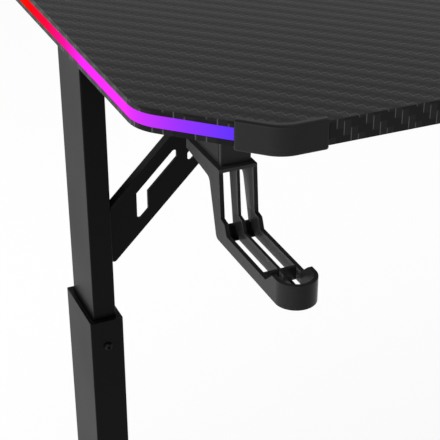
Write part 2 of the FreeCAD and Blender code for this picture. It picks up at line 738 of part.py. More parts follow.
# Gussets: slotted sheet at 45 degrees with a lip along its upper edge and a bolted flange at each end
slot = [
    ("slot_left", "slot_knee"),
    ("slot_left + slot_run", "slot_knee - slot_run", "slot_round"),
    ("slot_left + slot_run", "slot_knee - slot_run + slot_width"),
    ("slot_left + slot_width", "slot_knee"),
    ("slot_left + slot_width", "slot_knee + slot_leg - slot_width"),
    ("slot_left", "slot_knee + slot_leg", "slot_round"),
]
twin_run = "2 * (slot_left + slot_run) + slot_gap"
twin_drop = "2 * (slot_knee - slot_run + slot_drop)"
slot_twin = [(f"{twin_run} - ({x})", f"{twin_drop} - ({z})", *radius) for x, z, *radius in slot]
beam_drop = "(board_thick + beam_height)"
for side, sign in SIDES.items():
    face = "(gusset_setback - upright_depth / 2)"
    outline = [
        gusset_point(sign, "0", "gusset_upper"),
        gusset_point(sign, f"gusset_upper - {beam_drop}", beam_drop),
        gusset_point(sign, f"gusset_lower - {beam_drop}", beam_drop),
        gusset_point(sign, "0", "gusset_lower", "gusset_tip_round"),
    ]
    loops = [outline] + [[gusset_point(sign, *point) for point in loop] for loop in (slot, slot_twin)]
    plate = prism(f"{side}_gusset_plate", "XZ", loops, "gusset_thick", face)
    slant = "gusset_thick * sqrt(2)"
    lip_outline = [
        outline[0],
        outline[1],
        gusset_point(sign, f"gusset_upper - {beam_drop} + {slant}", beam_drop),
        gusset_point(sign, "0", f"gusset_upper + {slant}"),
    ]
    lip_depth = "gusset_setback + gusset_thick"
    lip = prism(f"{side}_gusset_lip", "XZ", [lip_outline], lip_depth, "-upright_depth / 2")
    flange_size = ("gusset_thick", "gusset_flange", "gusset_lower - gusset_upper - gusset_flange_foot")
    flange_x = f"{sign} * ({LEG_INNER} - gusset_thick / 2) - gusset_thick / 2"
    flange_low = (flange_x, face, "desk_height - gusset_lower + gusset_flange_foot")
    flange = block(f"{side}_gusset_flange", flange_size, flange_low)
    ear_x = f"{sign} * {gusset_middle} - (gusset_lower - gusset_upper) / 2"
    ear_size = ("gusset_lower - gusset_upper", "gusset_flange", "gusset_thick")
    ear = block(f"{side}_gusset_ear", ear_size, (ear_x, face, f"{BEAM_LOW} - gusset_thick"))
    holes = []
    for drop in ("gusset_upper + nut_across", "gusset_lower - gusset_flange_foot - nut_across"):
        mouth = (flange_x, "0", f"desk_height - ({drop})")
        holes.append(hole(f"{side}_gusset_hole_{len(holes)}", BOLT_HOLE, "gusset_thick", mouth, "x"))
    for spot in gusset_bolt_places[side]:
        mouth = (*spot, f"{BEAM_LOW} - gusset_thick")
        holes.append(hole(f"{side}_gusset_hole_{len(holes)}", BOLT_HOLE, "gusset_thick", mouth))
    blank = fuse(f"{side}_gusset_blank", [plate, lip, flange, ear])
    node(f"{side}_gusset", cut(f"{side}_gusset_cut", blank, holes))
node("gusset_bolts", group("gusset_bolt_group", gusset_bolts))
node("frame_nuts", group("frame_nut_group", frame_nuts))

# Headphone hook: three moulded rails tied by the flange, the elbow web, the cross bar and the round lip
hook_left = f"(-{HOOK} - hook_width / 2)"
hook_reach = "(hook_front + hook_overhang)"
lip_middle = "(hook_front + hook_overhang - hook_width / 2)"
arm_top = "(hook_drop - hook_arm)"
horn = f"({lip_middle} - hook_lip * horn_share)"
tongue_end = f"{hook_reach} - hook_rail / 2"
front_line = [
    ("0", "0"),
    ("hook_drop * neck_lean_share", "hook_drop * neck_front_share"),
    ("hook_drop * step_out_share", "hook_drop * step_top_share"),
    ("hook_drop * step_low_share", arm_top),
]
horn_line = [
    (f"{horn} - hook_lip * ramp_share", arm_top),
    (horn, f"{arm_top} - hook_lip"),
    (lip_middle, f"{arm_top} - hook_lip"),
    (lip_middle, "hook_drop"),
]
tongue_line = [(tongue_end, arm_top), (tongue_end, "hook_drop")]
heel_line = [
    ("-hook_drop * heel_share", "hook_drop", "hook_foot_round"),
    ("-hook_flange * elbow_out_share", "hook_drop * elbow_drop_share", "hook_elbow_round"),
    ("-hook_flange", "hook_drop * flange_end_share"),
    ("-hook_flange", "0"),
]
rail = [hook_point(*point) for point in front_line + horn_line + heel_line]
tongue_back = [heel_line[0], ("-hook_drop * tongue_back_share", "0")]
tongue = [hook_point(*point) for point in front_line + tongue_line + tongue_back]
far_rail = f"{hook_left} + hook_width - hook_rail"
web_front = "(hook_drop * web_reach_share)"
web_top = "(hook_drop * (1 - web_height_share))"
heel_run = "(hook_flange * elbow_out_share - hook_drop * heel_share)"
web_back = f"-(hook_drop * heel_share + {heel_run} * web_height_share / (1 - elbow_drop_share))"
web_outline = [
    hook_point(web_front, "hook_drop"),
    hook_point("-hook_drop * heel_share", "hook_drop", "hook_foot_round"),
    hook_point(web_back, web_top),
    hook_point(web_front, web_top),
]
web_blank = prism("hook_web_blank", "YZ", [web_outline], "hook_width", hook_left)
hollow_width = "2 * hook_drop * web_height_share * web_hollow_share"
hollow_mouth = (hook_left, *hook_point(web_front, web_top))
hollow = hole("hook_web_hollow", hollow_width, "hook_width", hollow_mouth, "x")
lip_mouth = (f"-{HOOK}", *hook_point(lip_middle, "hook_drop"))
lip_blank = rod("hook_lip_blank", "hook_width", "hook_arm + hook_lip", lip_mouth)
lip_blank.Angle = 180
lip_blank.Placement.Rotation = FreeCAD.Rotation(TURNS["z"], 180)
lip_hollow = hole("hook_lip_hollow", "hook_width - 2 * hook_rail", "hook_arm + hook_lip", lip_mouth)
flange_low = (hook_left, "hook_front - desk_depth / 2", f"{BEAM_LOW} - hook_plate")
bar_low = (hook_left, "hook_cross_place - desk_depth / 2", f"{BEAM_LOW} - hook_drop")
hook = fuse(
    "hook_blank",
    [
        prism("hook_near_rail", "YZ", [rail], "hook_rail", hook_left),
        prism("hook_far_rail", "YZ", [rail], "hook_rail", far_rail),
        prism("hook_middle_rail", "YZ", [tongue], "hook_tongue", f"-{HOOK} - hook_tongue / 2"),
        block("hook_flange_plate", ("hook_width", "hook_flange", "hook_plate"), flange_low),
        block("hook_cross_piece", ("hook_width", "hook_cross_bar", "hook_arm"), bar_low),
        cut("hook_web", web_blank, [hollow]),
        cut("hook_lip_wall", lip_blank, [lip_hollow]),
    ],
)
holes = []
hook_screws = []
for number, spot in enumerate(hook_screw_places):
    seat = (*spot, f"{BEAM_LOW} - hook_plate")
    holes.append(hole(f"hook_hole_{number}", "hook_screw + 4 * fit_gap", "hook_plate", seat))
    name = f"hook_screw_{number}"
    length = "hook_plate + 3 * tube_wall"
    hook_screws.append(screw(name, "hook_screw", "lock_head", "lock_head_height", length, seat, "z"))
node("headphone_hook", cut("hook_cut", hook, holes))
node("hook_screws", group("hook_screw_group", hook_screws))

# Light controller: moulded case and lid, held to the top by two long screws
case_left = f"({CASE_X} - case_width / 2)"
case_right = f"({CASE_X} + case_width / 2)"
case_back = f"({CASE_FRONT} + case_depth)"
circuit_low = f"({CIRCUIT_TOP} - circuit_thick)"
shell = block("case_shell", ("case_width", "case_depth", "case_height"), (case_left, CASE_FRONT, CASE_LOW))
room = inside(("case_width", "case_depth"), "case_wall")
room_low = (f"{case_left} + case_wall", f"{CASE_FRONT} + case_wall", f"{CASE_LOW} + case_wall")
tray = cut("case_tray", shell, [block("case_room", (*room, "case_height"), room_low)])
posts = []
for number, spot in enumerate(case_screw_places):
    size = ("case_post", "case_post", "case_height")
    posts.append(middle_block(f"case_post_{number}", size, (*spot, CASE_LOW)))
for side, x in (("left", case_left), ("right", f"{case_right} - case_post")):
    size = ("case_post", "case_depth - 2 * case_post", f"{circuit_low} - {CASE_LOW}")
    posts.append(block(f"case_{side}_ledge", size, (x, f"{CASE_FRONT} + case_post", CASE_LOW)))
button_mouth = (CASE_X, CASE_FRONT, BUTTON_Z)
tools = [hole("case_button_hole", "button_width + 2 * button_clearance", "case_wall", button_mouth, "y")]
gap_size = ("socket_width + 2 * fit_gap", "case_wall + 2 * overrun", "socket_height + 2 * fit_gap")
gap_low = (CASE_X, f"{case_back} - case_wall / 2", f"{CIRCUIT_TOP} - fit_gap")
tools.append(middle_block("case_socket_gap", gap_size, gap_low))
for side, x in (("left", case_left), ("right", f"{case_right} - case_wall")):
    mouth = (x, LEAD_Y, LEAD_Z)
    tools.append(hole(f"case_{side}_lead_hole", "lead_width + 2 * fit_gap", "case_wall", mouth, "x"))
lid_holes = []
case_screws = []
for number, spot in enumerate(case_screw_places):
    name = f"case_screw_{number}"
    seat = (*spot, CASE_LOW)
    tools.append(hole(f"{name}_hole", "case_screw + 4 * fit_gap", "case_height", seat))
    mouth = (*spot, f"{UNDER} - case_lid")
    lid_holes.append(hole(f"{name}_lid_hole", "case_screw + 4 * fit_gap", "case_lid", mouth))
    length = "case_height + case_lid + case_screw_grip"
    case_screws.append(screw(name, "case_screw", "lock_head", "lock_head_height", length, seat, "z"))
node("controller_case", cut("case_cut", fuse("case_blank", [tray, *posts]), tools))
lid_low = (case_left, CASE_FRONT, f"{UNDER} - case_lid")
lid = block("case_lid_blank", ("case_width", "case_depth", "case_lid"), lid_low)
node("controller_lid", cut("case_lid_cut", lid, lid_holes))
node("controller_screws", group("case_screw_group", case_screws))

# Circuit board with its push switch and a terminal at each end, and the supply socket behind
circuit_front = f"({CASE_FRONT} + case_post + circuit_gap)"
circuit_back = f"({case_back} - case_post - circuit_gap)"
circuit_length = inside(("case_width",), "case_wall + circuit_gap")[0]
circuit_size = (circuit_length, f"{circuit_back} - {circuit_front}", "circuit_thick")
circuit_start = (f"{case_left} + case_wall + circuit_gap", circuit_front, circuit_low)
switch_spot = (CASE_X, f"{circuit_front} + switch_depth / 2", CIRCUIT_TOP)
pin_base = (CASE_X, circuit_front, BUTTON_Z)
circuit = [
    block("circuit_sheet", circuit_size, circuit_start),
    middle_block("circuit_switch", ("switch_width", "switch_depth", "switch_width"), switch_spot),
    rod("circuit_pin", "button_stem", "switch_pin", pin_base, "-y"),
]
for side, sign in SIDES.items():
    x = f"{CASE_X} + {sign} * (case_width / 2 - case_wall - terminal_gap - terminal_width / 2)"
    size = ("terminal_width", "terminal_width", f"{LEAD_Z} - {CIRCUIT_TOP} + lead_width")
    circuit.append(middle_block(f"circuit_{side}_terminal", size, (x, LEAD_Y, CIRCUIT_TOP)))
node("controller_circuit", fuse("circuit", circuit))
socket_spot = (CASE_X, f"{case_back} - socket_length / 2", CIRCUIT_TOP)
socket = middle_block("socket_blank", ("socket_width", "socket_length", "socket_height"), socket_spot)
socket_mouth = (CASE_X, f"{case_back} - socket_bore_depth", f"{CIRCUIT_TOP} + socket_height / 2")
socket_bore = rod("socket_bore_tool", "socket_bore", "socket_bore_depth + overrun", socket_mouth, "y")
contact_base = ahead(socket_mouth, "-y", "overrun")
contact = rod("socket_contact", "socket_pin", "socket_bore_depth", contact_base, "y")
node("supply_socket", fuse("socket_joined", [cut("socket_shell", socket, [socket_bore]), contact]))

# Push button through the case's front wall
cap_base = ahead(button_mouth, "-y", "button_proud")
rim_base = ahead(button_mouth, "y", "case_wall + button_gap")
stem_length = "case_post + circuit_gap - switch_pin - button_travel - 2 * button_gap - case_wall"
button = [
    rod("button_cap", "button_width", "button_proud + case_wall + button_gap", cap_base, "y"),
    rod("button_flange", "button_width + 2 * button_rim", "button_rim", rim_base, "y"),
    rod("button_pusher", "button_stem", stem_length, rim_base, "y"),
]
node("led_button", fuse("button_joined", button))

# Leads from the controller, clipped under the top and turned up into the light grooves
clips = []
for side, sign in SIDES.items():
    outward = "-x" if side == "left" else "x"
    spin = opposite("y") if side == "right" else "y"
    start = f"{CASE_X} + {sign} * (case_width / 2 - case_wall - terminal_gap)"
    bend = f"{sign} * ({LEAD_END} - lead_bend)"
    run = f"{sign} * (({bend}) - ({start}))"
    straight = rod(f"{side}_lead_run", "lead_width", run, (start, LEAD_Y, LEAD_Z), outward)
    arc = doc.addObject("Part::Torus", f"{side}_lead_arc")
    rotation = FreeCAD.Rotation(TURNS["-z"], TURNS[outward], TURNS[spin], "XYZ")
    arc.Placement = FreeCAD.Placement(FreeCAD.Vector(), rotation)
    arc.Angle3 = 90
    bind(arc, Radius1="lead_bend", Radius2="lead_width / 2")
    place(arc, (bend, LEAD_Y, f"{LEAD_Z} + lead_bend"))
    riser_base = (f"{sign} * {LEAD_END}", LEAD_Y, f"{LEAD_Z} + lead_bend")
    rise = "lead_drop - lead_bend + led_lip + lead_reach"
    riser = rod(f"{side}_lead_riser", "lead_width", rise, riser_base)
    node(f"{side}_led_lead", fuse(f"{side}_lead", [straight, arc, riser]))
    for number, letter in enumerate(CLIP_NAMES[side]):
        name = f"{side}_clip_{letter}"
        x = f"({start}) + {sign} * ({run}) * ({number} + 1 / 2) / {len(CLIP_NAMES[side])}"
        size = ("clip_length", "clip_width", "lead_drop + clip_under")
        blank = middle_block(f"{name}_blank", size, (x, LEAD_Y, f"{LEAD_Z} - clip_under"))
        mouth = (f"{x} - clip_length / 2", LEAD_Y, LEAD_Z)
        bore = hole(f"{name}_bore", "lead_width + 2 * fit_gap", "clip_length", mouth, "x")
        clips.append(cut(name, blank, [bore]))
node("lead_clips", group("clip_group", clips))

# Lower halves of the legs: sleeve with its collar and lock screw, base plate, foot, end caps and levellers
for side, sign in SIDES.items():
    x = f"{sign} * {LEG}"
    size = (SLEEVE_WIDTH, SLEEVE_DEPTH)
    blank = tube(f"{side}_sleeve_blank", "XY", (x, "0"), size, f"{SLEEVE_TOP} - {PLATE_TOP}", PLATE_TOP)
    mouth = (x, f"-{SLEEVE_DEPTH} / 2", f"{SLEEVE_TOP} - lock_drop")
    lock_hole = hole(f"{side}_lock_hole", "lock_screw + 2 * fit_gap", "tube_wall", mouth, "y")
    node(f"{side}_sleeve", cut(f"{side}_sleeve_cut", blank, [lock_hole]))
    loops = [
        rectangle((x, "0"), inside(size, "tube_wall + fit_gap")),
        rectangle((x, "0"), inside(("upright_width", "upright_depth"), "-slide_clearance")),
    ]
    blank = prism(f"{side}_collar_blank", "XY", loops, "collar_height", f"{SLEEVE_TOP} - collar_height")
    gap_mouth = ahead(mouth, "y", "tube_wall")
    gap = hole(f"{side}_collar_gap", "lock_screw + 2 * slide_clearance", "slide_gap", gap_mouth, "y")
    node(f"{side}_collar", cut(f"{side}_collar_cut", blank, [gap]))
    seat = ahead(mouth, "-y", "lock_head_gap")
    length = "lock_head_gap + tube_wall + slide_gap - slide_clearance"
    lock = screw(f"{side}_lock", "lock_screw", "lock_head", "lock_head_height", length, seat, "y")
    node(f"{side}_lock_screw", lock)
    plate_size = ("foot_width", "base_plate_length", "plate_thick")
    plate = middle_block(f"{side}_base_blank", plate_size, (x, "0", FOOT_TOP))
    length = "(foot_length - 2 * foot_cap_thick)"
    middle = (x, f"{FOOT_LOW} + foot_height / 2")
    size = ("foot_width", "foot_height")
    pieces = [tube(f"{side}_foot_blank", "XZ", middle, size, length, f"-{length} / 2")]
    tools = []
    plate_holes = []
    foot_bolts = []
    for end, end_sign in ENDS.items():
        name = f"{side}_{end}"
        seat = (x, f"{end_sign} * base_bolt_place", PLATE_TOP)
        foot_bolts.append(frame_bolt(f"{name}_foot_bolt", "plate_thick + tube_wall + nut_thick", seat, "-z"))
        plate_holes.append(hole(f"{name}_plate_hole", BOLT_HOLE, "plate_thick", seat, "-z"))
        weld = ahead(seat, "-z", "plate_thick + tube_wall")
        pieces.append(rod(f"{name}_weld_nut", "boss_width", "nut_thick", weld, "-z"))
        mouth = ahead(seat, "-z", "plate_thick")
        tools.append(hole(f"{name}_nut_bore", "bolt + 2 * fit_gap", "tube_wall + nut_thick", mouth, "-z"))
        stand = (x, f"{end_sign} * (foot_length / 2 - leveller_inset)", FOOT_LOW)
        pieces.append(rod(f"{name}_boss", "boss_width", "tube_wall + boss_height", stand))
        tools.append(hole(f"{name}_boss_bore", "stud_width + 2 * fit_gap", "tube_wall + boss_height", stand))
        disc = rod(f"{name}_disc", "leveller_width", "leveller_height", (*stand[:2], "0"))
        stud = rod(f"{name}_stud", "stud_width", "leveller_height + stud_length", (*stand[:2], "0"))
        node(f"{name}_leveller", fuse(f"{name}_leveller_joined", [disc, stud]))
        y = f"{end_sign} * (foot_length / 2 - foot_cap_thick / 2)"
        face = middle_block(f"{name}_face", ("foot_width", "foot_cap_thick", "foot_height"), (x, y, FOOT_LOW))
        room = inside(("foot_width", "foot_height"), "tube_wall + fit_gap")
        y = f"{end_sign} * (foot_length / 2 - foot_cap_thick - plug_length / 2)"
        plug_low = (x, y, f"{FOOT_LOW} + tube_wall + fit_gap")
        plug = middle_block(f"{name}_plug", (room[0], "plug_length", room[1]), plug_low)
        node(f"{name}_foot_cap", fuse(f"{name}_cap_joined", [face, plug]))
    node(f"{side}_base_plate", cut(f"{side}_base_cut", plate, plate_holes))
    node(f"{side}_foot", cut(f"{side}_foot_cut", fuse(f"{side}_foot_joined", pieces), tools))
    node(f"{side}_foot_bolts", group(f"{side}_foot_bolt_group", foot_bolts))

# Every object must be sound before anything is written
doc.recompute()
for item in doc.Objects:
    if "Invalid" in item.State or "Error" in item.State:
        raise RuntimeError(f"{item.Name} did not recompute")
os.makedirs("parts", exist_ok=True)
for item in nodes:
    if item.Shape.isNull() or not item.Shape.isValid():
        raise RuntimeError(f"{item.Label} has no sound shape")
    item.Shape.exportStep(f"parts/{item.Label}.step")
    print(item.Label, len(item.Shape.Solids), round(item.Shape.Volume, 1))
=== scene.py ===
import json
import math

import bmesh
import bpy
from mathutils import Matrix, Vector

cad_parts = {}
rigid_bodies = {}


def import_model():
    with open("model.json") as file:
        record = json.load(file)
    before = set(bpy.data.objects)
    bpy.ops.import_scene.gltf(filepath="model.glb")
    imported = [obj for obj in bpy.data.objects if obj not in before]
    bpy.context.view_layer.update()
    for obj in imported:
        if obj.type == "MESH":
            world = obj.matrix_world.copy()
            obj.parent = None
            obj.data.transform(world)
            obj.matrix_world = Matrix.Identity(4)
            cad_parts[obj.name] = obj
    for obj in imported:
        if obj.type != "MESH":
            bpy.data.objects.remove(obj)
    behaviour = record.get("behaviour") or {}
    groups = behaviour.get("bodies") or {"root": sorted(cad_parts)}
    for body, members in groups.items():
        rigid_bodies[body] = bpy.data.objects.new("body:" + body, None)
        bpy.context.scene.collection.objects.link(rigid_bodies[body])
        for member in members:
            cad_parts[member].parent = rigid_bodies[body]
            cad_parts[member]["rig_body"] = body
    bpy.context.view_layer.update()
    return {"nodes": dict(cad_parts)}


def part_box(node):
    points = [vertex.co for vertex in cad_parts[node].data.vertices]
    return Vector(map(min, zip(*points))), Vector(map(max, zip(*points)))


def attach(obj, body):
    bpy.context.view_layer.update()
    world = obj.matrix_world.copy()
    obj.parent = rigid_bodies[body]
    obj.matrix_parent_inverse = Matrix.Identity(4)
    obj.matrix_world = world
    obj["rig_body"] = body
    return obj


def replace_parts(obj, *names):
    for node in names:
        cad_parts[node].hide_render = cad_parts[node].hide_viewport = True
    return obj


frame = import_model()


# Feet: two lengths of 50 x 30 mm steel tube that run from front to back, just above the floor.
# They are cut square and powder coated black, which leaves a fine, slightly pebbled skin.
def new_finish(name, shine):
    """A material with a plain shader of that mirror strength."""
    material = bpy.data.materials.new(name)
    material.use_nodes = True
    shader = material.node_tree.nodes["Principled BSDF"]
    shader.inputs["Specular IOR Level"].default_value = shine
    return material


def put(material, kind, values=(), **settings):
    """Adds a node. A value is a number, a colour or the output of another node."""
    node = material.node_tree.nodes.new(kind)
    for key, value in settings.items():
        setattr(node, key, value)
    for key, value in dict(values).items():
        join(material, value, node, key)
    return node


def join(material, value, node, key):
    """Sets a socket, or links it to another node's output."""
    if isinstance(value, bpy.types.NodeSocket):
        material.node_tree.links.new(value, node.inputs[key])
    else:
        node.inputs[key].default_value = value


def reckon(material, operation, *values):
    """Result of one step of arithmetic."""
    return put(material, "ShaderNodeMath", enumerate(values), operation=operation).outputs[0]


def spread(material, amount, low, high):
    """An amount from 0 to 1 spread over a range."""
    values = {"Value": amount, "To Min": low, "To Max": high}
    return put(material, "ShaderNodeMapRange", values).outputs["Result"]


def tint(material, amount, dark, light):
    """A colour between two, by an amount from 0 to 1. Each is a colour or another node's output."""
    node = put(material, "ShaderNodeMix", data_type="RGBA")
    for key, value in ((0, amount), (6, dark), (7, light)):
        join(material, (*value, 1) if isinstance(value, tuple) else value, node, key)
    return node.outputs[2]


def speckle(material, scale, detail=2.0):
    """Cloudy noise fixed to the piece, with so many clouds to the metre."""
    place = put(material, "ShaderNodeTexCoord").outputs["Object"]
    values = {"Vector": place, "Scale": scale, "Detail": detail}
    return put(material, "ShaderNodeTexNoise", values).outputs["Fac"]


def emboss(material, height, depth, strength=1.0):
    """Presses a height pattern, depth metres deep, into a finish."""
    values = {"Height": height, "Distance": depth, "Strength": strength}
    bump = put(material, "ShaderNodeBump", values)
    join(material, bump.outputs["Normal"], material.node_tree.nodes["Principled BSDF"], "Normal")


def coat(material, colour, roughness):
    """Gives a finish its colour and roughness."""
    shader = material.node_tree.nodes["Principled BSDF"]
    join(material, colour, shader, "Base Color")
    join(material, roughness, shader, "Roughness")


def mottle(material, scale, tones, roughness, detail=2.0):
    """Colours a finish in clouds of two near tones, so many to the metre, with a range of roughness."""
    clouds = speckle(material, scale, detail)
    coat(material, tint(material, clouds, *tones), spread(material, clouds, *roughness))


def dress(material, *names):
    """Puts a finish on CAD pieces."""
    for name in names:
        for slot in frame["nodes"][name].material_slots:
            slot.material = material


powder_coat = new_finish("powder_coat", 0.075)
mottle(powder_coat, 9, ((0.0016, 0.0016, 0.0017), (0.0026, 0.0026, 0.0027)), (0.34, 0.46))
emboss(powder_coat, speckle(powder_coat, 1500, 3), 0.00012, 0.35)
dress(powder_coat, "left_foot", "right_foot")


def new_piece(name, form, finish, body):
    """Turns a bmesh into a piece with a finish, on the body that carries it."""
    for face in form.faces:
        face.smooth = True
    mesh = bpy.data.meshes.new(name)
    form.to_mesh(mesh)
    form.free()
    old_normals = mesh.attributes.get("custom_normal")
    if old_normals:
        mesh.attributes.remove(old_normals)
    mesh.materials.append(finish)
    piece = bpy.data.objects.new(name, mesh)
    bpy.context.scene.collection.objects.link(piece)
    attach(piece, body)
    return piece


def round_edges(finish, edge, *names):
    """Stands in for CAD pieces with finer copies, whose sharp edges are rounded to a width."""
    for name in names:
        node = frame["nodes"][name]
        form = bmesh.new()
        form.from_mesh(node.data)
        bmesh.ops.remove_doubles(form, verts=form.verts, dist=1e-6)
        bmesh.ops.dissolve_limit(form, angle_limit=math.radians(1), verts=form.verts, edges=form.edges)
        piece = new_piece(f"{name}_finished", form, finish, node["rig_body"])
        rounding = piece.modifiers.new("rounding", "BEVEL")
        rounding.width = edge
        rounding.segments = 2
        rounding.limit_method = "ANGLE"
        rounding.angle_limit = math.radians(35)
        piece.modifiers.new("shading", "WEIGHTED_NORMAL")
        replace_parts(piece, name)


black_plastic = new_finish("black_plastic", 0.16)
mottle(black_plastic, 14, ((0.0125, 0.0125, 0.0128), (0.0155, 0.0155, 0.0158)), (0.42, 0.55))
emboss(black_plastic, speckle(black_plastic, 2600), 0.00008, 0.3)
for side in ("left", "right"):
    round_edges(black_plastic, 0.0015, f"{side}_front_foot_cap", f"{side}_rear_foot_cap")


# Levellers: a plastic pad moulded round an M8 stud, one under each end of a foot.
# The pad's rim is notched for fingers, and its underside stands on a narrow ring.
def loft(form, skin):
    """Faces between rings of corners, closed at both ends."""
    sides = len(skin[0])
    for lower, upper in zip(skin, skin[1:]):
        for number in range(sides):
            beside = (number + 1) % sides
            form.faces.new((lower[number], lower[beside], upper[beside], upper[number]))
    form.faces.new(skin[0][::-1])
    form.faces.new(skin[-1])


def turned(form, middle, rings, sides):
    """Skin of a turned piece. A ring is (height, reach), and reach gives the radius at an angle."""
    skin = []
    for height, reach in rings:
        angles = [2 * math.pi * number / sides for number in range(sides)]
        skin.append([
            form.verts.new((
                middle[0] + reach(angle) * math.cos(angle),
                middle[1] + reach(angle) * math.sin(angle),
                middle[2] + height,
            ))
            for angle in angles
        ])
    loft(form, skin)


def plain(radius):
    """Reach of a round ring."""
    return lambda angle: radius


def notched(radius):
    """Reach of the pad's rim, with 18 shallow finger notches."""
    return lambda angle: radius - 0.0007 * max(0.0, math.cos(18 * angle)) ** 2


def threaded(height):
    """Reach of the stud's thread at a height, one turn in 1.25 mm."""
    def reach(angle):
        share = (height / 0.00125 - angle / (2 * math.pi)) % 1.0
        return 0.0039 - 0.0006 * abs(2 * share - 1)
    return reach


leveller_plastic = new_finish("leveller_plastic", 0.14)
mottle(leveller_plastic, 30, ((0.008, 0.008, 0.008), (0.013, 0.013, 0.0128)), (0.5, 0.7))
emboss(leveller_plastic, speckle(leveller_plastic, 1800), 0.0001, 0.4)
pad_rings = [
    (0.0006, plain(0.0135)), (0.0006, plain(0.0145)), (0.0, plain(0.0151)), (0.0, plain(0.0171)),
    (0.0003, plain(0.018)), (0.001, notched(0.0187)), (0.0018, notched(0.019)), (0.005, notched(0.019)),
    (0.0058, notched(0.0187)), (0.0064, plain(0.018)), (0.0068, plain(0.0165)), (0.007, plain(0.0105)),
    (0.0072, plain(0.0098)), (0.0077, plain(0.0094)), (0.008, plain(0.0088)), (0.008, plain(0.0041)),
]
stud_rings = [(height / 10000, threaded(height / 10000)) for height in range(80, 294, 2)]
stud_rings += [(0.0296, plain(0.0033)), (0.03, plain(0.0029))]
for side in ("left", "right"):
    for end in ("front", "rear"):
        name = f"{side}_{end}_leveller"
        low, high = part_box(name)
        middle = ((low[0] + high[0]) / 2, (low[1] + high[1]) / 2, low[2])
        form = bmesh.new()
        turned(form, middle, pad_rings + stud_rings, 72)
        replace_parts(new_piece(f"{name}_finished", form, leveller_plastic, name), name)


# Base plates: flat steel welded under each sleeve, then bolted down on the foot.
# They are coated with the sleeves; the bolts are black-oxide button heads.
black_bolt = new_finish("black_bolt", 0.12)
mottle(black_bolt, 240, ((0.0022, 0.0022, 0.0024), (0.0042, 0.0042, 0.0045)), (0.28, 0.42))
emboss(black_bolt, speckle(black_bolt, 3000), 0.00004, 0.3)
for side in ("left", "right"):
    round_edges(powder_coat, 0.0006, f"{side}_base_plate")
    round_edges(black_bolt, 0.0003, f"{side}_foot_bolts")


# Sleeves: the lower half of each leg, about 32 x 72 mm steel tube welded round to its base plate.
# A black plastic collar lines its mouth and guides the upright; one screw locks the height.
def bead(form, start, end, width):
    """A weld's rippled bead along a straight run between two pieces."""
    start, end = Vector(start), Vector(end)
    along = (end - start).normalized()
    aside = along.orthogonal().normalized()
    over = along.cross(aside)
    ripples = max(2, round((end - start).length / 0.0023))
    skin = []
    for number in range(4 * ripples + 1):
        ripple = 0.84 + 0.16 * abs(math.sin(math.pi * number / 4))
        close = 0.35 if number in (0, 4 * ripples) else 1.0
        middle = start.lerp(end, number / (4 * ripples))
        reach = ripple * close * width / 2
        turns = [2 * math.pi * step / 10 for step in range(10)]
        ring = [middle + reach * (math.cos(turn) * aside + math.sin(turn) * over) for turn in turns]
        skin.append([form.verts.new(corner) for corner in ring])
    loft(form, skin)


collar_plastic = new_finish("collar_plastic", 0.05)
mottle(collar_plastic, 30, ((0.0016, 0.0016, 0.0017), (0.0028, 0.0028, 0.0029)), (0.45, 0.6))
emboss(collar_plastic, speckle(collar_plastic, 2600), 0.00006, 0.3)
weld_width = 0.0042
weld_inset = 0.0016
for side in ("left", "right"):
    low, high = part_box(f"{side}_sleeve")
    form = bmesh.new()
    for y in (low[1], high[1]):
        bead(form, (low[0] + weld_inset, y, low[2]), (high[0] - weld_inset, y, low[2]), weld_width)
    for x in (low[0], high[0]):
        bead(form, (x, low[1] + weld_inset, low[2]), (x, high[1] - weld_inset, low[2]), weld_width)
    new_piece(f"{side}_sleeve_weld", form, powder_coat, f"{side}_base")
    round_edges(powder_coat, 0.0004, f"{side}_sleeve")
    round_edges(collar_plastic, 0.0005, f"{side}_collar")
    round_edges(black_bolt, 0.0003, f"{side}_lock_screw")


# Uprights: about 21 x 62 mm steel tube that slides in the sleeve, with a plastic guide plug below.
# They are coated like the feet, and stand against the ends of the cross beam.
for side in ("left", "right"):
    dress(powder_coat, f"{side}_upright")
    dress(black_plastic, f"{side}_guide_plug")


# Cross beam: 60 x 25 mm steel tube on edge between the uprights, with a plate welded to each end.
# Four support arms of the same height are welded square to it, each closed by a plastic cap.
# The arms' coat is a lighter copy of the powder coat, painted light for the light their faces lack under
# the top; its tone is set to how the seen one looks in the photograph.
dress(powder_coat, "cross_beam")
round_edges(powder_coat, 0.0006, "left_beam_plate", "right_beam_plate")
beam_low, beam_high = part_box("cross_beam")
weld_foot = beam_low[2] + weld_inset
weld_top = beam_high[2] - 0.003
form = bmesh.new()
for x in (beam_low[0], beam_high[0]):
    for y in (beam_low[1], beam_high[1]):
        bead(form, (x, y, weld_foot), (x, y, weld_top), weld_width)
    front, back = beam_low[1] + weld_inset, beam_high[1] - weld_inset
    bead(form, (x, front, beam_low[2]), (x, back, beam_low[2]), weld_width)
new_piece("beam_plate_welds", form, powder_coat, "top")
# Painted light: a lighter copy of the powder coat, used on the arms.
arm_coat_painted_light = new_finish("arm_coat_painted_light", 0.075)
mottle(arm_coat_painted_light, 9, ((0.0095, 0.0095, 0.0097), (0.0125, 0.0125, 0.0127)), (0.34, 0.46))
emboss(arm_coat_painted_light, speckle(arm_coat_painted_light, 1500, 3), 0.00012, 0.35)
form = bmesh.new()
for side in ("left", "right"):
    for end, y in (("front", beam_low[1]), ("rear", beam_high[1])):
        dress(arm_coat_painted_light, f"{side}_{end}_arm")
        low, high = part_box(f"{side}_{end}_arm")
        for x in (low[0], high[0]):
            bead(form, (x, y, weld_foot), (x, y, weld_top), weld_width)
new_piece("arm_welds", form, powder_coat, "top")
round_edges(black_plastic, 0.0012, "arm_end_caps")
round_edges(black_bolt, 0.0003, "beam_bolts")


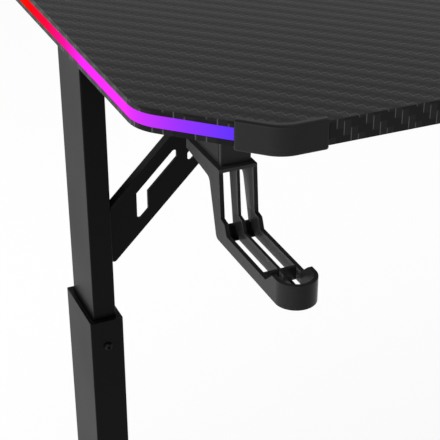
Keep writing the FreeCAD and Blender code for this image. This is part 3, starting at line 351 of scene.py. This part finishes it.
# Gussets: 3 mm steel sheet with two cut slots and a folded lip, bolted between upright and beam.
# Their bolts go into zinc-plated nuts that are welded inside the tubes.
zinc_steel = new_finish("zinc_steel", 0.5)
zinc_steel.node_tree.nodes["Principled BSDF"].inputs["Metallic"].default_value = 1.0
mottle(zinc_steel, 160, ((0.42, 0.43, 0.45), (0.58, 0.59, 0.6)), (0.26, 0.44), 4)
emboss(zinc_steel, speckle(zinc_steel, 2200), 0.00005, 0.3)
round_edges(powder_coat, 0.0005, "left_gusset", "right_gusset")
round_edges(black_bolt, 0.0003, "gusset_bolts")
dress(zinc_steel, "frame_nuts")


# Desktop: 18 mm particle board wrapped in embossed film with a carbon weave, a 2 x 2 twill.
# The film runs down over the edges, where it is painted lighter than on the top and darker again on the cut
# corners; the underside is plain black backing paper.
tow = 0.0056
weave_start = {"X": -0.48, "Y": -0.2928, "Z": 0.7369}
top_weft_tone = 0.001
top_rise_tone = 0.01
top_warp_tone = 0.0018
top_line_tone = 0.055
edge_weft_tone = 0.0125
edge_warp_tone = 0.0185
edge_dash_tone = 0.105
backing_tone = 0.006
carbon_film = new_finish("carbon_film", 0.05)
coords = put(carbon_film, "ShaderNodeTexCoord")
place = put(carbon_film, "ShaderNodeSeparateXYZ", {"Vector": coords.outputs["Object"]}).outputs
facing = put(carbon_film, "ShaderNodeSeparateXYZ", {"Vector": coords.outputs["Normal"]}).outputs


def weave(operation, *values):
    """One step of arithmetic for the film's weave."""
    return reckon(carbon_film, operation, *values)


def choose(switch, off, on):
    """One of two amounts, by a switch that is 0 or 1."""
    change = weave("SUBTRACT", on, off)
    return weave("MULTIPLY_ADD", switch, change, off)


def line_at(amount, middle, reach):
    """A soft line: 1 where the amount is at the middle, 0 beyond its reach."""
    off_middle = weave("ABSOLUTE", weave("SUBTRACT", amount, middle))
    return weave("MAXIMUM", weave("SUBTRACT", 1.0, weave("DIVIDE", off_middle, reach)), 0.0)


def crown(amount, power):
    """Height of a rounded ridge, 0 at both edges and 1 in the middle."""
    off_middle = weave("ABSOLUTE", weave("SUBTRACT", weave("MULTIPLY", amount, 2.0), 1.0))
    return weave("SUBTRACT", 1.0, weave("POWER", off_middle, power))


on_end = weave("GREATER_THAN", weave("ABSOLUTE", facing["X"]), 0.924)
on_flat = weave("GREATER_THAN", weave("ABSOLUTE", facing["Z"]), 0.7)
on_cut = weave("SUBTRACT", weave("GREATER_THAN", weave("ABSOLUTE", facing["X"]), 0.38), on_end)
is_film = weave("GREATER_THAN", facing["Z"], -0.7)
tows = {}
for axis, start in weave_start.items():
    tows[axis] = weave("DIVIDE", weave("SUBTRACT", place[axis], start), tow)
across = choose(on_end, weave("MULTIPLY_ADD", on_cut, 0.92, tows["X"]), tows["Y"])
along = choose(on_flat, tows["Z"], tows["Y"])
across_tow, along_tow = weave("FRACT", across), weave("FRACT", along)
step = weave("FLOORED_MODULO", weave("ADD", weave("FLOOR", across), weave("FLOOR", along)), 4.0)
warp_up = weave("LESS_THAN", step, 1.5)
beside_warp = weave("GREATER_THAN", step, 2.5)
warp_end = weave("MULTIPLY", weave("ADD", step, along_tow), 0.5)
weft_end = weave("MULTIPLY", weave("ADD", weave("SUBTRACT", step, 2.0), across_tow), 0.5)
side_in = choose(warp_up, along_tow, across_tow)
end_in = choose(warp_up, weft_end, warp_end)
ridge = weave("MULTIPLY", crown(side_in, 2.0), crown(end_in, 4.0))
edge_dash = weave("MULTIPLY", line_at(across_tow, 0.07, 0.1), crown(warp_end, 6.0))
edge_dash = weave("MULTIPLY", edge_dash, warp_up)
# Painted light and shade by facing: the edges get lighter tones than the top, and the cut corner edges half
# of those.
edge_tone = choose(edge_dash, choose(warp_up, edge_weft_tone, edge_warp_tone), edge_dash_tone)
edge_tone = weave("MULTIPLY", edge_tone, weave("MULTIPLY_ADD", on_cut, -0.5, 1.0))
fade_range = {"Value": warp_end, "From Min": 0.88, "From Max": 0.5}
side_fade = put(carbon_film, "ShaderNodeMapRange", fade_range).outputs["Result"]
left_line = weave("MULTIPLY", weave("MULTIPLY", line_at(across_tow, 0.0, 0.11), side_fade), warp_up)
right_line = weave("MULTIPLY", line_at(across_tow, 1.0, 0.11), beside_warp)
end_line = weave("MULTIPLY", line_at(warp_end, 0.14, 0.12), weave("MULTIPLY", warp_up, 0.72))
stair_line = weave("MAXIMUM", weave("MAXIMUM", left_line, right_line), end_line)
rise_range = {"Value": warp_end, "From Min": 1.3, "From Max": 1.48}
weft_rise = put(carbon_film, "ShaderNodeMapRange", rise_range).outputs["Result"]
fibres = weave("MULTIPLY_ADD", speckle(carbon_film, 800, 1.0), 0.008, -0.004)
weft_tone = choose(weft_rise, top_weft_tone, top_rise_tone)
top_tone = weave("ADD", choose(warp_up, weft_tone, top_warp_tone), fibres)
top_tone = weave("MAXIMUM", top_tone, 0.0)
top_tone = choose(stair_line, top_tone, top_line_tone)
tone = choose(on_flat, edge_tone, top_tone)
coat(carbon_film, choose(is_film, backing_tone, tone), spread(carbon_film, ridge, 0.46, 0.38))
emboss(carbon_film, weave("MULTIPLY", ridge, is_film), 0.00003, 0.3)
dress(carbon_film, "desktop_panel")
round_edges(black_bolt, 0.0003, "desktop_bolts")
dress(zinc_steel, "board_inserts")


# Light strips: white flexible tape in a groove along each end of the top and round its cut corner.
# A frosted plastic diffuser, flush with the edge, spreads the colour run of the lights.
# It glows by itself here, on a nearly black base, so that its colours come out pure.
def colours_along(material, amount, stops):
    """A run of colours along an amount from 0 to 1. A stop is (position, colour)."""
    run = put(material, "ShaderNodeValToRGB", {"Fac": amount})
    elements = run.color_ramp.elements
    for number, (position, colour) in enumerate(stops):
        stop = elements[number] if number < 2 else elements.new(position)
        stop.position = position
        stop.color = (*colour, 1)
    return run.outputs["Color"]


light_tape = new_finish("light_tape", 0.3)
mottle(light_tape, 120, ((0.62, 0.62, 0.58), (0.7, 0.7, 0.67)), (0.4, 0.55))
light_diffuser = new_finish("light_diffuser", 0.0)
lit_length = 0.55
colour_run = [
    (0.005, (0.138, 0.036, 1.0)),
    (0.049, (0.332, 0.036, 1.0)),
    (0.085, (0.631, 0.036, 1.0)),
    (0.127, (1.0, 0.036, 1.0)),
    (0.3, (1.0, 0.022, 0.97)),
    (0.382, (0.95, 0.006, 0.356)),
    (0.464, (1.0, 0.0015, 0.061)),
    (0.555, (1.0, 0.0024, 0.0024)),
    (1.0, (1.0, 0.045, 0.0)),
]
spot = put(light_diffuser, "ShaderNodeTexCoord").outputs["Object"]
depth_in = put(light_diffuser, "ShaderNodeSeparateXYZ", {"Vector": spot}).outputs["Y"]
share = reckon(light_diffuser, "ADD", reckon(light_diffuser, "DIVIDE", depth_in, lit_length), 0.5)
coat(
    light_diffuser,
    tint(light_diffuser, speckle(light_diffuser, 200), (0.0003, 0.0003, 0.0003), (0.0005, 0.0005, 0.0005)),
    spread(light_diffuser, speckle(light_diffuser, 900), 0.45, 0.6),
)
shader = light_diffuser.node_tree.nodes["Principled BSDF"]
join(light_diffuser, colours_along(light_diffuser, share, colour_run), shader, "Emission Color")
shader.inputs["Emission Strength"].default_value = 1.0
for side in ("left", "right"):
    dress(light_tape, f"{side}_led_tape")
    dress(light_diffuser, f"{side}_led_diffuser")


# Corner bumpers: moulded satin plastic channels over the front vertex of each cut corner.
# Each is held from below by two small zinc-plated screws with a cross recess.
# On the cut arm, the rim's fillet carries a thin painted highlight line next to the face and a painted
# shade band above it, set after the photograph.
def solids_of(name):
    """Low and high corner of each separate solid of a CAD piece."""
    form = bmesh.new()
    form.from_mesh(frame["nodes"][name].data)
    bmesh.ops.remove_doubles(form, verts=form.verts, dist=1e-6)
    found = set()
    boxes = []
    for first in form.verts:
        if first in found:
            continue
        found.add(first)
        solid = [first]
        for vert in solid:
            beside = [edge.other_vert(vert) for edge in vert.link_edges]
            fresh = [other for other in beside if other not in found]
            found.update(fresh)
            solid.extend(fresh)
        corners = [[pick(vert.co[axis] for vert in solid) for axis in range(3)] for pick in (min, max)]
        boxes.append(corners)
    form.free()
    return boxes


def crossed(radius):
    """Reach of a cross recess with four arms."""
    return lambda angle: radius * (0.35 + 0.65 * abs(math.cos(2 * angle)) ** 6)


def cross_screws(name, head, width, body):
    """Stands in for plain CAD screws that hang head down, with a round head and a cross recess."""
    form = bmesh.new()
    for low, high in solids_of(name):
        middle = ((low[0] + high[0]) / 2, (low[1] + high[1]) / 2, low[2])
        reach = (high[0] - low[0]) / 2
        length = high[2] - low[2]
        rings = [
            (0.6 * head, crossed(0.45 * reach)), (0.05 * head, crossed(0.62 * reach)),
            (0.0, plain(0.7 * reach)), (0.12 * head, plain(0.86 * reach)),
            (0.4 * head, plain(0.97 * reach)), (0.65 * head, plain(reach)),
            (head, plain(reach)), (head, plain(width / 2)),
            (length - width / 2, plain(width / 2)), (length, plain(width / 6)),
        ]
        turned(form, middle, rings, 48)
    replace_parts(new_piece(f"{name}_finished", form, zinc_steel, body), name)


bumper_plastic = new_finish("bumper_plastic", 0.1)
clouds = speckle(bumper_plastic, 20)
lean = put(bumper_plastic, "ShaderNodeTexCoord").outputs["Normal"]
lean = put(bumper_plastic, "ShaderNodeSeparateXYZ", {"Vector": lean}).outputs
aside = {"Value": reckon(bumper_plastic, "ABSOLUTE", lean["X"]), "From Min": 0.15, "From Max": 0.4}
aside = put(bumper_plastic, "ShaderNodeMapRange", aside).outputs["Result"]
# Painted highlight and shade on the cut arm's rim fillet, by the face's upward slope: a thin lighter line
# next to the face, a darker band above it.
rim_highlight_and_shade_shares = [(0.0, 0.714), (0.03, 1.0), (0.2, 1.0), (0.34, 0.32), (0.84, 0.32), (0.95, 0.714)]
rim = colours_along(bumper_plastic, lean["Z"], [(position, (share,) * 3) for position, share in rim_highlight_and_shade_shares])
change = reckon(bumper_plastic, "MULTIPLY_ADD", rim, 1.4, -1.0)
share = reckon(bumper_plastic, "MULTIPLY_ADD", aside, change, 1.0)
tone = tint(bumper_plastic, clouds, (0.0118, 0.0118, 0.012), (0.0143, 0.0143, 0.0145))
tone = put(bumper_plastic, "ShaderNodeVectorMath", {0: tone, "Scale": share}, operation="SCALE").outputs[0]
coat(bumper_plastic, tone, spread(bumper_plastic, clouds, 0.38, 0.48))
emboss(bumper_plastic, speckle(bumper_plastic, 2400), 0.00006, 0.3)
dress(bumper_plastic, "left_corner_bumper", "right_corner_bumper")
cross_screws("bumper_screws", 0.0022, 0.003, "top")


# Light controller: a small moulded box screwed under the top, with a push button in front.
# Its circuit board carries the switch and terminals, and the supply socket faces the back.
circuit_board = new_finish("circuit_board", 0.3)
mottle(circuit_board, 400, ((0.004, 0.05, 0.016), (0.008, 0.08, 0.026)), (0.35, 0.5))
button_plastic = new_finish("button_plastic", 0.3)
mottle(button_plastic, 60, ((0.01, 0.01, 0.0105), (0.014, 0.014, 0.0145)), (0.2, 0.3))
round_edges(black_plastic, 0.0012, "controller_case")
round_edges(black_plastic, 0.0003, "controller_lid", "supply_socket")
round_edges(zinc_steel, 0.0003, "controller_screws")
dress(circuit_board, "controller_circuit")
round_edges(button_plastic, 0.0006, "led_button")


# Leads: two thin sheathed cables from the controller to the light tapes.
# Moulded clips hold them straight along the underside of the top.
lead_sheath = new_finish("lead_sheath", 0.2)
mottle(lead_sheath, 90, ((0.006, 0.006, 0.006), (0.01, 0.01, 0.01)), (0.5, 0.65))
dress(lead_sheath, "left_led_lead", "right_led_lead")
round_edges(black_plastic, 0.0012, "lead_clips")


# Headphone hook: one moulding of black plastic, three rails with a round lip at the end.
# Two screws from below hold it to the left front arm.
# The faces inside its frame, lighter still on the neck, and its brow are painted light: lighter tones for
# light the rails and the arm above hold off, set after the photograph.
hook_plastic = new_finish("hook_plastic", 0.07)
shader = hook_plastic.node_tree.nodes["Principled BSDF"]
shader.inputs["Sheen Weight"].default_value = 0.1
shader.inputs["Sheen Roughness"].default_value = 0.4
clouds = speckle(hook_plastic, 25)
hook_low, hook_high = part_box("headphone_hook")
first_rail = hook_low[0] + 0.002
cross_bar = hook_low[1] + 0.0325
elbow_top = hook_low[2] + 0.02
flange_foot = hook_high[2] - 0.0032
coords = put(hook_plastic, "ShaderNodeTexCoord")
place = put(hook_plastic, "ShaderNodeSeparateXYZ", {"Vector": coords.outputs["Object"]}).outputs
facing = put(hook_plastic, "ShaderNodeSeparateXYZ", {"Vector": coords.outputs["Normal"]}).outputs
# Painted light: rail faces inside the frame behind the lip, more on the neck, and the front-facing brow
# below the flange are made lighter.
inside = reckon(hook_plastic, "GREATER_THAN", place["X"], first_rail)
inside = reckon(hook_plastic, "MULTIPLY", inside, reckon(hook_plastic, "LESS_THAN", facing["X"], -0.5))
behind_lip = reckon(hook_plastic, "GREATER_THAN", place["Y"], cross_bar)
inside = reckon(hook_plastic, "MULTIPLY", inside, behind_lip)
brow_painted_light = reckon(hook_plastic, "GREATER_THAN", place["Z"], flange_foot)
brow_painted_light = reckon(hook_plastic, "MULTIPLY", brow_painted_light, reckon(hook_plastic, "LESS_THAN", facing["Y"], -0.5))
tone = tint(hook_plastic, clouds, (0.0095, 0.0095, 0.0097), (0.0125, 0.0125, 0.0127))
on_neck = reckon(hook_plastic, "GREATER_THAN", place["Z"], elbow_top)
inner_painted_light = tint(hook_plastic, on_neck, (0.048, 0.048, 0.0483), (0.085, 0.085, 0.0854))
tone = tint(hook_plastic, inside, tone, inner_painted_light)
tone = tint(hook_plastic, brow_painted_light, tone, (0.034, 0.034, 0.0343))
coat(hook_plastic, tone, spread(hook_plastic, clouds, 0.22, 0.3))
emboss(hook_plastic, speckle(hook_plastic, 2400), 0.00006, 0.3)
round_edges(hook_plastic, 0.00025, "headphone_hook")
round_edges(black_bolt, 0.0003, "hook_screws")


# Studio: a pale floor and a white surround, with a broad soft lamp low at the left and one above.
# The camera stands at the left front, a little above the top, as the photograph's did.
def seen(owner):
    """1 for a ray from the camera, a reflection or through glass, and 0 for light that falls on things."""
    rays = put(owner, "ShaderNodeLightPath").outputs
    reflected = reckon(owner, "MAXIMUM", rays["Is Glossy Ray"], rays["Is Transmission Ray"])
    return reckon(owner, "MAXIMUM", rays["Is Camera Ray"], reflected)


surround = bpy.data.worlds.new("surround")
surround.use_nodes = True
glow = surround.node_tree.nodes["Background"]
glow.inputs["Color"].default_value = (1, 1, 1, 1)
join(surround, spread(surround, seen(surround), 0.5, 1.0), glow, "Strength")
bpy.context.scene.world = surround

bpy.ops.mesh.primitive_plane_add(size=60, location=(0, 0, -0.001))
floor = bpy.context.object
floor.name = "floor"
floor_white = new_finish("floor_white", 0.0)
paint = floor_white.node_tree.nodes["Principled BSDF"]
paint.inputs["Base Color"].default_value = (0.95, 0.95, 0.95, 1)
paint.inputs["Roughness"].default_value = 0.9
white = put(floor_white, "ShaderNodeEmission").outputs["Emission"]
share = reckon(floor_white, "MULTIPLY", seen(floor_white), 0.88)
blend = put(floor_white, "ShaderNodeMixShader", {0: share, 1: paint.outputs["BSDF"], 2: white})
join(floor_white, blend.outputs["Shader"], floor_white.node_tree.nodes["Material Output"], "Surface")
floor.data.materials.append(floor_white)

for name, spot, size, power in (
    ("left_lamp", (-2.9, 0.1, 0.45), 1.8, 130.0),
    ("top_lamp", (0.4, 0.2, 3.6), 3.2, 50.0),
):
    lamp = bpy.data.lights.new(name, "AREA")
    lamp.size = size
    lamp.energy = power
    fixture = bpy.data.objects.new(name, lamp)
    bpy.context.scene.collection.objects.link(fixture)
    fixture.location = spot
    aim = Vector((0, 0, 0.6)) - Vector(spot)
    fixture.rotation_euler = aim.to_track_quat("-Z", "Y").to_euler()
    fixture.visible_camera = False
    fixture.visible_glossy = False

camera = bpy.data.objects.new("camera", bpy.data.cameras.new("camera"))
bpy.context.scene.collection.objects.link(camera)
camera.location = (-0.8534, -0.9378, 1.0755)
camera.rotation_euler = (math.radians(90 - 28.73), 0, math.radians(-23.95))
camera.data.sensor_width = 36
camera.data.lens = 98.94
camera.data.clip_start = 0.01
bpy.context.scene.camera = camera
bpy.context.scene.view_settings.view_transform = "Standard"
